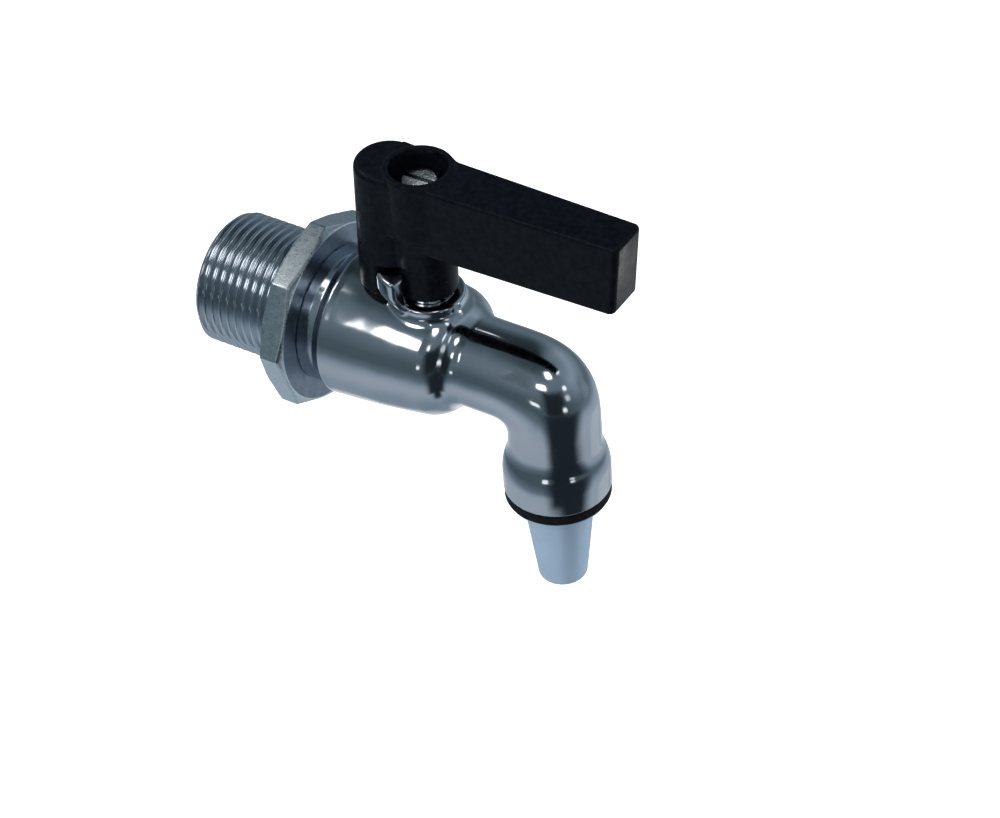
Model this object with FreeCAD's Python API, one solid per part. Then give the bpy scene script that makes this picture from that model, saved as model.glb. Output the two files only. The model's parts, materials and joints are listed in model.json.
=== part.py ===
"""Lever drum tap: a plated brass ball tap with a male threaded inlet, an octagonal flange, a spout bent
down, a tapered nozzle and a black moulded lever.

Millimetres. The origin is where the pipe axis meets the flange's inlet face. +X runs along the pipe from
the inlet to the spout, +Z runs up along the stem, and +Y points away from the viewer. The lever lies along
+X, which is open, and turns a quarter about the stem to close.
"""
import FreeCAD, Part
import math
import os

# Inlet connector
THREAD_RADIUS = 13.22          # major radius of a 3/4 inch pipe thread
THREAD_LENGTH = 19.7
THREAD_CHAMFER = 1.0
THREAD_PITCH = 25.4 / 14
THREAD_DEPTH = 1.16
THREAD_LAND = 0.35             # flat on each crest
INLET_BORE_RADIUS = 8.5
FLANGE_FLATS = 36.3            # across the flats of the octagon
FLANGE_THICKNESS = 5.0
FLANGE_SIDES = 8
FLANGE_TURN = 2.7              # degrees that the octagon is turned from corner up
FLANGE_CHAMFER_ANGLE = 20.0    # turned chamfer on the corners, degrees
JOINT_RADIUS = 10.9            # threaded nose inside the barrel
JOINT_LENGTH = 12.0
NOSE_RADIUS = 9.0
NOSE_BACK = 5.0                # from the nose's end to the stem axis

# Barrel and its shoulder, measured from the flange's outlet face
STEM_FROM_FLANGE = 22.6
GROOVE_RADIUS = 13.0
GROOVE_LENGTH = 4.6
GROOVE_SLOPE = 2.4
BARREL_RADIUS_IN = 14.7
BARREL_RADIUS_OUT = 12.5
BARREL_PAST_STEM = 5.7
SHOULDER_LENGTH = 3.1
BARREL_EDGE = 0.8
SHOULDER_EDGE = 1.3

# Spout, elbow and collar
SPOUT_RADIUS = 9.0
SPOUT_BORE_RADIUS = 5.5
SPOUT_REACH = 26.2             # from the stem axis to the falling spout's axis
ELBOW_RADIUS = 6.0             # on the centre line
COLLAR_RADIUS = 10.45
COLLAR_SLOPE_TOP = 13.8        # depths below the pipe axis
COLLAR_RIM = 17.3
COLLAR_BOTTOM = 23.7
COLLAR_EDGE = 0.6

# Nozzle and its rubber ring
RING_RADIUS = 10.25
RING_THICKNESS = 2.0
RING_ROUND = 0.6
NOZZLE_FLANGE_RADIUS = 9.8
NOZZLE_FLANGE_THICKNESS = 1.2
NOZZLE_ROOT_RADIUS = 7.1
NOZZLE_TIP_RADIUS = 4.77
NOZZLE_LENGTH = 20.2           # from the nozzle flange to the tip
NOZZLE_BORE_RADIUS = 3.4
NOZZLE_SPIGOT_RADIUS = 7.4
NOZZLE_SPIGOT_LENGTH = 8.0
NOZZLE_TIP_ROUND = 0.5

# Boss on the barrel, with the stop lug for the open position
BOSS_RADIUS = 7.0
BOSS_TOP = 13.7                # above the pipe axis
BOSS_EDGE = 0.5
LUG_INNER_RADIUS = 6.2
LUG_OUTER_RADIUS = 10.0
LUG_START = 228.5              # degrees about the stem
LUG_SPAN = 33.5
LUG_TOP = 21.5                 # above the pipe axis
LUG_EDGE = 0.6
NOTCH_PAST_LUG = 30.0          # degrees cleared beyond the lug

# Ball and seats
BALL_RADIUS = 8.0
BALL_BORE_RADIUS = 4.75
CAVITY_RADIUS = 9.2
SEAT_BORE_RADIUS = 5.6
SEAT_RADIUS = 7.9
SEAT_START = 4.3               # from the stem axis
SEAT_END = 7.2
SEAL_THICKNESS = 0.8
SLOT_WIDTH = 3.6
SLOT_FLOOR = 6.0

# Stem
STEM_RADIUS = 3.5
STEM_HEAD_RADIUS = 4.7
STEM_HEAD_BOTTOM = 8.3
STEM_HEAD_HEIGHT = 1.0
TONGUE_LENGTH = 7.0
SQUARE_FLATS = 5.5
SQUARE_BOTTOM = 18.2
STEM_TOP = 34.6
TAP_RUNOUT = 1.0               # tapped hole below the screw's tip
WASHER_THICKNESS = 0.7
PACKING_CHAMBER_RADIUS = 4.6
PACKING_FLOOR = 10.8
PACKING_THICKNESS = 0.6        # each of two rings
GLAND_TOP = 17.6
GLAND_SLOT_WIDTH = 1.2
GLAND_SLOT_DEPTH = 1.0
RING_SECTION_RADIUS = 0.45     # rubber rings on the stem
RING_GROOVE_HEIGHT = 1.1
RING_HEIGHTS = (13.9, 16.1)

# Lever
LEVER_TOP = 42.1
BAR_BOTTOM = 26.3
BAR_HALF_WIDTH_HUB = 5.6
BAR_HALF_WIDTH_TIP = 4.5
BAR_REACH = 44.6               # from the stem axis to the tip
TIP_SLANT = 1.5                # the end face leans back by this much
TIP_CORNER = 1.3
LEVER_EDGE = 0.9
HUB_RADIUS = 6.8
HUB_LEDGE = 29.2
HUB_RIM_HEIGHT = 0.5
HUB_EDGE = 0.45
HEEL_BACK = 6.8                # from the stem axis to the heel's centre
HEEL_RADIUS_TOP = 6.4
HEEL_RADIUS_BOTTOM = 7.3
HEEL_EDGE = 1.3
WEB_HALF_WIDTH = 2.9           # between the heel's foot and the sleeve
SLEEVE_RADIUS_TOP = 6.1
SLEEVE_RADIUS_BOTTOM = 5.75
SLEEVE_BOTTOM = 15.0
SLEEVE_EDGE = 0.3
RECESS_RADIUS = 5.55
RECESS_FLOOR = 35.4
BAR_WALL = 2.2
CORE_DEPTH = 11.0
CORE_START = 11.0
CORE_RIB_THICKNESS = 1.6
CORE_RIBS = 2

# Lever insert, screw and washers
INSERT_RADIUS = 4.5
INSERT_FLANGE_RADIUS = 4.9
INSERT_FLANGE_THICKNESS = 1.0
SCREW_RADIUS = 2.0
SCREW_HEAD_RADIUS = 3.6
SCREW_HEAD_HEIGHT = 2.6
SCREW_HEAD_EDGE = 0.5
SCREW_LENGTH = 12.0
SCREW_SLOT_WIDTH = 1.0
SCREW_SLOT_DEPTH = 1.3
LEVER_WASHER_RADIUS = 4.7
LEVER_WASHER_THICKNESS = 0.8
SPRING_WASHER_RADIUS = 3.7
SPRING_WASHER_THICKNESS = 1.0
SPRING_WASHER_GAP = 0.9

# Clearances
RUNNING = 0.05                 # on radius, between turning pieces
LOOSE = 0.15                   # on radius, round a head or a screw
FREE = 0.3                     # between pieces that pass each other
THREAD_FIT = 0.03              # on radius, between screwed pieces
REACH = 100.0                  # longer than any cut through the tap
PAST = 1.0                     # how far a cut runs past what it cuts

# Places worked out from the sizes above
STEM_X = FLANGE_THICKNESS + STEM_FROM_FLANGE
SPOUT_X = STEM_X + SPOUT_REACH
RING_BOTTOM = COLLAR_BOTTOM + RING_THICKNESS
NOZZLE_TOP = RING_BOTTOM + NOZZLE_FLANGE_THICKNESS
NOZZLE_BOTTOM = NOZZLE_TOP + NOZZLE_LENGTH
WASHER_BOTTOM = STEM_HEAD_BOTTOM + STEM_HEAD_HEIGHT
STEM_BORE_BOTTOM = WASHER_BOTTOM + WASHER_THICKNESS
GLAND_BOTTOM = PACKING_FLOOR + 2 * PACKING_THICKNESS
JOINT_END = FLANGE_THICKNESS + JOINT_LENGTH
SEAL_END = JOINT_END + SEAL_THICKNESS

X_AXIS = FreeCAD.Vector(1, 0, 0)
Y_AXIS = FreeCAD.Vector(0, 1, 0)
Z_AXIS = FreeCAD.Vector(0, 0, 1)
ORIGIN = FreeCAD.Vector(0, 0, 0)


def point(x, y, z):
    return FreeCAD.Vector(x, y, z)


def rod_x(radius, start, end):
    """A cylinder along the pipe axis."""
    return Part.makeCylinder(radius, end - start, point(start, 0, 0), X_AXIS)


def rod_z(radius, low, high, x=STEM_X):
    """An upright cylinder, on the stem axis unless x says otherwise."""
    return Part.makeCylinder(radius, high - low, point(x, 0, low), Z_AXIS)


def tube_z(outer, inner, low, high, x=STEM_X):
    return rod_z(outer, low, high, x).cut(rod_z(inner, low, high, x))


def tube_x(outer, inner, start, end):
    return rod_x(outer, start, end).cut(rod_x(inner, start, end))


def cone_z(low_radius, high_radius, low, high, x=STEM_X):
    return Part.makeCone(low_radius, high_radius, high - low, point(x, 0, low), Z_AXIS)


def block(x0, x1, y0, y1, z0, z1):
    return Part.makeBox(x1 - x0, y1 - y0, z1 - z0, point(x0, y0, z0))


def turned(points, centre, axis):
    """A solid of revolution of a closed outline."""
    outline = Part.makePolygon(points + [points[0]])
    return Part.Face(outline).revolve(centre, axis, 360)


def turned_x(profile):
    """Revolves (x, radius) pairs about the pipe axis."""
    return turned([point(x, 0, r) for x, r in profile], ORIGIN, X_AXIS)


def turned_z(profile, x=STEM_X):
    """Revolves (radius, z) pairs about an upright axis."""
    return turned([point(x + r, 0, z) for r, z in profile], point(x, 0, 0), Z_AXIS)


def is_circle_at(edge, axis, place, radius):
    """Says if an edge is a full circle of this radius at this place along the axis."""
    curve = edge.Curve
    if not isinstance(curve, Part.Circle):
        return False
    along = curve.Center.dot(axis)
    return abs(along - place) < 0.01 and abs(curve.Radius - radius) < 0.01


def rounded(shape, axis, rims):
    """Rounds the circular edges given as (place along the axis, edge radius, rounding)."""
    for place, radius, size in rims:
        edges = [e for e in shape.Edges if is_circle_at(e, axis, place, radius)]
        shape = shape.makeFillet(size, edges)
    return shape


def octagon(start, end):
    """The flange's prism, with its corners cut back by a turned chamfer on both faces."""
    corner = FLANGE_FLATS / 2 / math.cos(math.pi / FLANGE_SIDES)
    angles = [math.radians(FLANGE_TURN + 360 * i / FLANGE_SIDES) for i in range(FLANGE_SIDES)]
    corners = [point(start, corner * math.sin(a), corner * math.cos(a)) for a in angles]
    prism = Part.Face(Part.makePolygon(corners + [corners[0]])).extrude(point(end - start, 0, 0))
    flat = FLANGE_FLATS / 2
    rise = (corner - flat) * math.tan(math.radians(FLANGE_CHAMFER_ANGLE))
    lathe = turned_x([
        (start, 0), (start, flat), (start + rise, corner), (end - rise, corner), (end, flat), (end, 0)])
    return prism.common(lathe)


def thread_rings():
    """(x, radius) pairs of the even rings that stand for the thread, from its chamfer to the flange."""
    root = THREAD_RADIUS - THREAD_DEPTH
    flank = THREAD_PITCH / 2 - THREAD_LAND
    start = THREAD_CHAMFER - THREAD_LENGTH
    count = int((-start - THREAD_LAND) / THREAD_PITCH)
    pairs = []
    for i in range(count):
        x = start + i * THREAD_PITCH
        pairs += [(x, THREAD_RADIUS), (x + THREAD_LAND, THREAD_RADIUS),
                  (x + THREAD_LAND + flank, root), (x + THREAD_PITCH - flank, root)]
    return pairs + [(start + count * THREAD_PITCH, THREAD_RADIUS), (0, THREAD_RADIUS)]


def make_inlet_connector():
    """Male thread, octagonal flange and the nose that is screwed into the barrel."""
    nose_end = STEM_X - NOSE_BACK
    outside = turned_x([(-THREAD_LENGTH, 0), (-THREAD_LENGTH, THREAD_RADIUS - THREAD_CHAMFER)] + thread_rings() + [
        (0, JOINT_RADIUS), (JOINT_END, JOINT_RADIUS), (JOINT_END, NOSE_RADIUS), (nose_end, NOSE_RADIUS),
        (nose_end, 0)])
    shape = outside.fuse(octagon(0, FLANGE_THICKNESS))
    seat_face = STEM_X - SEAT_END
    bore = rod_x(INLET_BORE_RADIUS, -THREAD_LENGTH, JOINT_END)
    throat = rod_x(SEAT_BORE_RADIUS, JOINT_END, seat_face)
    pocket = rod_x(SEAT_RADIUS, seat_face, nose_end)
    return shape.cut(bore).cut(throat).cut(pocket).removeSplitter()


def barrel_outside():
    """Barrel, shoulder and level spout as one turned form."""
    groove_end = FLANGE_THICKNESS + GROOVE_LENGTH
    barrel_start = groove_end + GROOVE_SLOPE
    barrel_end = STEM_X + BARREL_PAST_STEM
    spout_start = barrel_end + SHOULDER_LENGTH
    spout_end = SPOUT_X - ELBOW_RADIUS
    shape = turned_x([
        (FLANGE_THICKNESS, 0), (FLANGE_THICKNESS, GROOVE_RADIUS), (groove_end, GROOVE_RADIUS),
        (barrel_start, BARREL_RADIUS_IN), (barrel_end, BARREL_RADIUS_OUT), (spout_start, SPOUT_RADIUS),
        (spout_end, SPOUT_RADIUS), (spout_end, 0)])
    return rounded(shape, X_AXIS, [
        (barrel_start, BARREL_RADIUS_IN, BARREL_EDGE), (barrel_end, BARREL_RADIUS_OUT, SHOULDER_EDGE),
        (spout_start, SPOUT_RADIUS, SHOULDER_EDGE)])


def elbow(radius):
    """The bend's outer part, swept by the part of the section beyond the bend's own axis."""
    start = SPOUT_X - ELBOW_RADIUS
    section = Part.Face(Part.Wire(Part.makeCircle(radius, point(start, 0, 0), X_AXIS)))
    if radius > ELBOW_RADIUS:
        section = section.cut(block(start - PAST, start + PAST, -radius, radius, -radius - PAST, -ELBOW_RADIUS))
    return section.revolve(point(start, 0, -ELBOW_RADIUS), Y_AXIS, 90)


def collar_outside():
    """Falling spout and the collar at its end."""
    shape = turned_z([
        (0, -ELBOW_RADIUS), (SPOUT_RADIUS, -ELBOW_RADIUS), (SPOUT_RADIUS, -COLLAR_SLOPE_TOP),
        (COLLAR_RADIUS, -COLLAR_RIM), (COLLAR_RADIUS, -COLLAR_BOTTOM), (0, -COLLAR_BOTTOM)], SPOUT_X)
    return rounded(shape, Z_AXIS, [
        (-COLLAR_RIM, COLLAR_RADIUS, COLLAR_EDGE), (-COLLAR_SLOPE_TOP, SPOUT_RADIUS, COLLAR_EDGE)])


def stop_lug():
    """The upright lug on the boss that the heel rests against when the tap is open."""
    ring = tube_z(LUG_OUTER_RADIUS, LUG_INNER_RADIUS, PACKING_FLOOR, LUG_TOP)
    angles = [math.radians(a) for a in (LUG_START, LUG_START + LUG_SPAN)]
    rays = [point(STEM_X + REACH * math.cos(a), REACH * math.sin(a), PACKING_FLOOR) for a in angles]
    centre = point(STEM_X, 0, PACKING_FLOOR)
    wedge = Part.Face(Part.makePolygon([centre, rays[0], rays[1], centre]))
    lug = ring.common(wedge.extrude(point(0, 0, REACH)))
    top = [e for e in lug.Edges if e.BoundBox.ZMin > LUG_TOP - 0.01]
    return lug.makeFillet(LUG_EDGE, top)


def make_body():
    """The forging: barrel, boss, shoulder, spout, elbow and collar, with all its bores."""
    boss = rounded(rod_z(BOSS_RADIUS, 0, BOSS_TOP), Z_AXIS, [(BOSS_TOP, BOSS_RADIUS, BOSS_EDGE)])
    shape = barrel_outside().fuse([elbow(SPOUT_RADIUS), collar_outside(), boss, stop_lug()])
    outlet_seat_face = STEM_X + SEAT_END
    spigot_top = NOZZLE_SPIGOT_LENGTH - COLLAR_BOTTOM
    cuts = [
        rod_x(JOINT_RADIUS + THREAD_FIT, FLANGE_THICKNESS, SEAL_END),
        rod_x(CAVITY_RADIUS, SEAL_END, STEM_X + SEAT_START),
        rod_x(SEAT_RADIUS, STEM_X + SEAT_START, outlet_seat_face),
        rod_x(SPOUT_BORE_RADIUS, outlet_seat_face, SPOUT_X - ELBOW_RADIUS),
        elbow(SPOUT_BORE_RADIUS),
        rod_z(SPOUT_BORE_RADIUS, spigot_top, -ELBOW_RADIUS, SPOUT_X),
        rod_z(NOZZLE_SPIGOT_RADIUS + THREAD_FIT, -COLLAR_BOTTOM, spigot_top, SPOUT_X),
        rod_z(STEM_HEAD_RADIUS + LOOSE, STEM_HEAD_BOTTOM - FREE, STEM_BORE_BOTTOM),
        rod_z(STEM_RADIUS + RUNNING, STEM_BORE_BOTTOM, PACKING_FLOOR),
        rod_z(PACKING_CHAMBER_RADIUS, PACKING_FLOOR, REACH)]
    for cut in cuts:
        shape = shape.cut(cut)
    return shape.removeSplitter()


def make_connector_seal():
    """Flat ring between the connector's step and the barrel's."""
    return tube_x(JOINT_RADIUS, CAVITY_RADIUS, JOINT_END, SEAL_END)


def make_seat(side):
    """A sealing ring beside the ball, hollowed to the ball; side is -1 at the inlet, 1 at the outlet."""
    near, far = sorted((STEM_X + side * SEAT_START, STEM_X + side * SEAT_END))
    ring = tube_x(SEAT_RADIUS, SEAT_BORE_RADIUS, near, far)
    hollow = Part.makeSphere(BALL_RADIUS + RUNNING, point(STEM_X, 0, 0))
    return ring.cut(hollow)


def make_ball():
    """The bored ball with the slot that the stem's tongue turns."""
    ball = Part.makeSphere(BALL_RADIUS, point(STEM_X, 0, 0))
    bore = rod_x(BALL_BORE_RADIUS, STEM_X - REACH / 2, STEM_X + REACH / 2)
    half = SLOT_WIDTH / 2
    slot = block(STEM_X - BALL_RADIUS, STEM_X + BALL_RADIUS, -half, half, SLOT_FLOOR, BALL_RADIUS + PAST)
    return ball.cut(bore).cut(slot)


def square_prism(flats, low, high):
    half = flats / 2
    return block(STEM_X - half, STEM_X + half, -half, half, low, high)


def make_stem():
    """Tongue, head that can't blow out, shaft with ring grooves, square and tapped end."""
    half = SLOT_WIDTH / 2 - RUNNING
    reach = TONGUE_LENGTH / 2
    tongue = block(STEM_X - reach, STEM_X + reach, -half, half, SLOT_FLOOR + 2 * RUNNING, STEM_HEAD_BOTTOM)
    head = rod_z(STEM_HEAD_RADIUS, STEM_HEAD_BOTTOM, WASHER_BOTTOM)
    shaft = rod_z(STEM_RADIUS, WASHER_BOTTOM, SQUARE_BOTTOM)
    round_end = rod_z(STEM_RADIUS, SQUARE_BOTTOM, STEM_TOP)
    square = square_prism(SQUARE_FLATS, SQUARE_BOTTOM, STEM_TOP).common(round_end)
    shape = head.fuse([tongue, shaft, square]).removeSplitter()
    floor = STEM_RADIUS - 2 * RING_SECTION_RADIUS
    for middle in RING_HEIGHTS:
        low = middle - RING_GROOVE_HEIGHT / 2
        shape = shape.cut(tube_z(STEM_RADIUS + PAST, floor, low, low + RING_GROOVE_HEIGHT))
    tapped = rod_z(SCREW_RADIUS + THREAD_FIT, screw_tip() - TAP_RUNOUT, STEM_TOP)
    return shape.cut(tapped)


def make_stem_ring(height):
    """A rubber ring in one of the stem's grooves."""
    middle = STEM_RADIUS - RING_SECTION_RADIUS
    return Part.makeTorus(middle, RING_SECTION_RADIUS, point(STEM_X, 0, height), Z_AXIS)


def make_thrust_washer():
    return tube_z(STEM_HEAD_RADIUS, STEM_RADIUS, WASHER_BOTTOM, STEM_BORE_BOTTOM)


def make_packing(number):
    """One of the two packing rings; number is 0 for the lower."""
    low = PACKING_FLOOR + number * PACKING_THICKNESS
    return tube_z(PACKING_CHAMBER_RADIUS, STEM_RADIUS + RUNNING, low, low + PACKING_THICKNESS)


def make_gland_nut():
    """The screwed gland, with a cross slot for its key."""
    nut = tube_z(PACKING_CHAMBER_RADIUS, STEM_RADIUS + RUNNING, GLAND_BOTTOM, GLAND_TOP)
    half = GLAND_SLOT_WIDTH / 2
    floor = GLAND_TOP - GLAND_SLOT_DEPTH
    reach = PACKING_CHAMBER_RADIUS
    nut = nut.cut(block(STEM_X - reach, STEM_X + reach, -half, half, floor, GLAND_TOP))
    return nut.cut(block(STEM_X - half, STEM_X + half, -reach, reach, floor, GLAND_TOP))


def bar_outside():
    """The straight arm of the lever, narrowing to its slanted tip, with its upright corners rounded."""
    tip = STEM_X + BAR_REACH
    plan = [point(STEM_X, -BAR_HALF_WIDTH_HUB, LEVER_TOP), point(tip, -BAR_HALF_WIDTH_TIP, LEVER_TOP),
            point(tip, BAR_HALF_WIDTH_TIP, LEVER_TOP), point(STEM_X, BAR_HALF_WIDTH_HUB, LEVER_TOP)]
    bar = Part.Face(Part.makePolygon(plan + [plan[0]])).extrude(point(0, 0, BAR_BOTTOM - LEVER_TOP))
    wedge = [point(tip, -REACH, LEVER_TOP), point(tip - TIP_SLANT, -REACH, BAR_BOTTOM),
             point(tip, -REACH, BAR_BOTTOM)]
    bar = bar.cut(Part.Face(Part.makePolygon(wedge + [wedge[0]])).extrude(point(0, 2 * REACH, 0)))
    at_tip = tip - TIP_SLANT - 0.01
    corners = [e for e in bar.Edges if e.BoundBox.XMin > at_tip and e.BoundBox.ZLength > 1]
    bar = bar.makeFillet(TIP_CORNER, corners)
    rims = [e for e in bar.Edges if e.BoundBox.ZLength < 0.01 and e.BoundBox.XMax > STEM_X + 0.01]
    return bar.makeFillet(LEVER_EDGE, rims)


def bar_core():
    """The core under the arm that leaves it with even walls and a few ribs."""
    start = STEM_X + CORE_START
    end = STEM_X + BAR_REACH - TIP_SLANT - BAR_WALL
    slope = (BAR_HALF_WIDTH_HUB - BAR_HALF_WIDTH_TIP) / BAR_REACH
    pocket_length = (end - start - CORE_RIBS * CORE_RIB_THICKNESS) / (CORE_RIBS + 1)
    pockets = []
    for i in range(CORE_RIBS + 1):
        x0 = start + i * (pocket_length + CORE_RIB_THICKNESS)
        half = BAR_HALF_WIDTH_HUB - slope * (x0 + pocket_length - STEM_X) - BAR_WALL
        pockets.append(block(x0, x0 + pocket_length, -half, half, BAR_BOTTOM, BAR_BOTTOM + CORE_DEPTH))
    return pockets


def heel_outside():
    """The rounded back of the lever, wider at its foot, joined to the hub by flat sides."""
    x = STEM_X - HEEL_BACK
    column = cone_z(HEEL_RADIUS_BOTTOM, HEEL_RADIUS_TOP, SLEEVE_BOTTOM, LEVER_TOP, x)
    column = rounded(column, Z_AXIS, [(LEVER_TOP, HEEL_RADIUS_TOP, HEEL_EDGE)])
    web = block(x, STEM_X, -HEEL_RADIUS_TOP, HEEL_RADIUS_TOP, HUB_LEDGE, LEVER_TOP)
    tops = [e for e in web.Edges if e.BoundBox.ZMin > LEVER_TOP - 0.01 and e.BoundBox.XLength > 1]
    web = web.makeFillet(LEVER_EDGE, tops)
    foot_web = block(x, STEM_X, -WEB_HALF_WIDTH, WEB_HALF_WIDTH, SLEEVE_BOTTOM, HUB_LEDGE)
    return [column, web, foot_web]


def make_lever():
    """The moulded lever: hub, sleeve, heel and arm, with the screw's recess and the insert's seat."""
    hub = rod_z(HUB_RADIUS, HUB_LEDGE, LEVER_TOP + HUB_RIM_HEIGHT)
    rims = [(HUB_LEDGE, HUB_RADIUS, HUB_EDGE), (LEVER_TOP + HUB_RIM_HEIGHT, HUB_RADIUS, HUB_EDGE)]
    hub = rounded(hub, Z_AXIS, rims)
    sleeve = cone_z(SLEEVE_RADIUS_BOTTOM, SLEEVE_RADIUS_TOP, SLEEVE_BOTTOM, HUB_LEDGE)
    sleeve = rounded(sleeve, Z_AXIS, [(SLEEVE_BOTTOM, SLEEVE_RADIUS_BOTTOM, SLEEVE_EDGE)])
    shape = hub.fuse([sleeve, bar_outside()] + heel_outside())
    for pocket in bar_core():
        shape = shape.cut(pocket)
    insert_bottom = GLAND_TOP + 2 * FREE
    gland_room = PACKING_CHAMBER_RADIUS + FREE
    shape = shape.cut(rod_z(gland_room, SLEEVE_BOTTOM, insert_bottom))
    shape = shape.cut(rod_z(INSERT_RADIUS, insert_bottom, RECESS_FLOOR))
    shape = shape.cut(rod_z(INSERT_FLANGE_RADIUS, RECESS_FLOOR - INSERT_FLANGE_THICKNESS, RECESS_FLOOR))
    shape = shape.cut(rod_z(RECESS_RADIUS, RECESS_FLOOR, LEVER_TOP + HUB_RIM_HEIGHT))
    return shape.cut(lug_notch()).removeSplitter()


def lug_notch():
    """The flat stop face at the heel's foot, set back from the lug by the free gap."""
    foot_top = LUG_TOP + FREE
    inner = LUG_INNER_RADIUS - FREE
    ring = tube_z(REACH, inner, SLEEVE_BOTTOM - PAST, foot_top)
    start = math.radians(LUG_START) - FREE / LUG_INNER_RADIUS
    end = math.radians(LUG_START + LUG_SPAN + NOTCH_PAST_LUG)
    rays = [point(STEM_X + 2 * REACH * math.cos(a), 2 * REACH * math.sin(a), 0) for a in (start, end)]
    centre = point(STEM_X, 0, 0)
    wedge = Part.Face(Part.makePolygon([centre, rays[0], rays[1], centre]))
    return ring.common(wedge.extrude(point(0, 0, REACH)))


def make_lever_insert():
    """The metal core of the lever with its square hole."""
    low = GLAND_TOP + 2 * FREE
    flange = rod_z(INSERT_FLANGE_RADIUS, RECESS_FLOOR - INSERT_FLANGE_THICKNESS, RECESS_FLOOR)
    core = rod_z(INSERT_RADIUS, low, RECESS_FLOOR).fuse(flange)
    hole = square_prism(SQUARE_FLATS + 2 * RUNNING, low, RECESS_FLOOR)
    return core.cut(hole.common(rod_z(STEM_RADIUS + RUNNING, low, RECESS_FLOOR))).removeSplitter()


def make_lever_washer():
    top = RECESS_FLOOR + LEVER_WASHER_THICKNESS
    return tube_z(LEVER_WASHER_RADIUS, SCREW_RADIUS + LOOSE, RECESS_FLOOR, top)


def make_spring_washer():
    """A split ring under the screw's head."""
    low = RECESS_FLOOR + LEVER_WASHER_THICKNESS
    high = low + SPRING_WASHER_THICKNESS
    ring = tube_z(SPRING_WASHER_RADIUS, SCREW_RADIUS + LOOSE, low, high)
    half = SPRING_WASHER_GAP / 2
    return ring.cut(block(STEM_X, STEM_X + SPRING_WASHER_RADIUS + PAST, -half, half, low, high))


def head_bottom():
    return RECESS_FLOOR + LEVER_WASHER_THICKNESS + SPRING_WASHER_THICKNESS


def screw_tip():
    return head_bottom() - SCREW_LENGTH


def make_lever_screw():
    """A slotted cheese-head screw."""
    top = head_bottom() + SCREW_HEAD_HEIGHT
    head = rod_z(SCREW_HEAD_RADIUS, head_bottom(), top)
    head = rounded(head, Z_AXIS, [(top, SCREW_HEAD_RADIUS, SCREW_HEAD_EDGE)])
    shape = head.fuse(rod_z(SCREW_RADIUS, screw_tip(), head_bottom())).removeSplitter()
    half = SCREW_SLOT_WIDTH / 2
    reach = SCREW_HEAD_RADIUS
    return shape.cut(block(STEM_X - reach, STEM_X + reach, -half, half, top - SCREW_SLOT_DEPTH, top))


def make_nozzle_ring():
    """The rubber ring between the collar and the nozzle."""
    ring = tube_z(RING_RADIUS, NOZZLE_SPIGOT_RADIUS, -RING_BOTTOM, -COLLAR_BOTTOM, SPOUT_X)
    rims = [(-RING_BOTTOM, RING_RADIUS, RING_ROUND), (-COLLAR_BOTTOM, RING_RADIUS, RING_ROUND)]
    return rounded(ring, Z_AXIS, rims)


def make_nozzle():
    """Threaded spigot, thin flange and tapered tip, bored through."""
    spigot_top = NOZZLE_SPIGOT_LENGTH - COLLAR_BOTTOM
    shape = turned_z([
        (0, spigot_top), (NOZZLE_SPIGOT_RADIUS, spigot_top),
        (NOZZLE_SPIGOT_RADIUS, -RING_BOTTOM), (NOZZLE_FLANGE_RADIUS, -RING_BOTTOM),
        (NOZZLE_FLANGE_RADIUS, -NOZZLE_TOP), (NOZZLE_ROOT_RADIUS, -NOZZLE_TOP),
        (NOZZLE_TIP_RADIUS, -NOZZLE_BOTTOM), (0, -NOZZLE_BOTTOM)], SPOUT_X)
    shape = rounded(shape, Z_AXIS, [(-NOZZLE_BOTTOM, NOZZLE_TIP_RADIUS, NOZZLE_TIP_ROUND)])
    mouth = cone_z(NOZZLE_BORE_RADIUS, SPOUT_BORE_RADIUS, -RING_BOTTOM, spigot_top, SPOUT_X)
    bore = rod_z(NOZZLE_BORE_RADIUS, -NOZZLE_BOTTOM, -RING_BOTTOM, SPOUT_X)
    return shape.cut(mouth).cut(bore)


def all_parts():
    return {
        "body": make_body(),
        "inlet_connector": make_inlet_connector(),
        "connector_seal": make_connector_seal(),
        "inlet_seat": make_seat(-1),
        "outlet_seat": make_seat(1),
        "ball": make_ball(),
        "stem": make_stem(),
        "stem_thrust_washer": make_thrust_washer(),
        "stem_ring_lower": make_stem_ring(RING_HEIGHTS[0]),
        "stem_ring_upper": make_stem_ring(RING_HEIGHTS[1]),
        "gland_packing_lower": make_packing(0),
        "gland_packing_upper": make_packing(1),
        "gland_nut": make_gland_nut(),
        "lever": make_lever(),
        "lever_insert": make_lever_insert(),
        "lever_washer": make_lever_washer(),
        "lever_spring_washer": make_spring_washer(),
        "lever_screw": make_lever_screw(),
        "nozzle_ring": make_nozzle_ring(),
        "nozzle": make_nozzle(),
    }


os.makedirs("parts", exist_ok=True)
for name, shape in all_parts().items():
    solids = shape.Solids
    print(name, "solids", len(solids), "valid", shape.isValid(), "volume", round(shape.Volume, 2))
    shape = solids[0] if len(solids) == 1 else Part.makeCompound(solids)
    shape.exportStep("parts/" + name + ".step")
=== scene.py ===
import json
import math
import bpy
import numpy as np
from mathutils import Matrix, Vector

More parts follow.
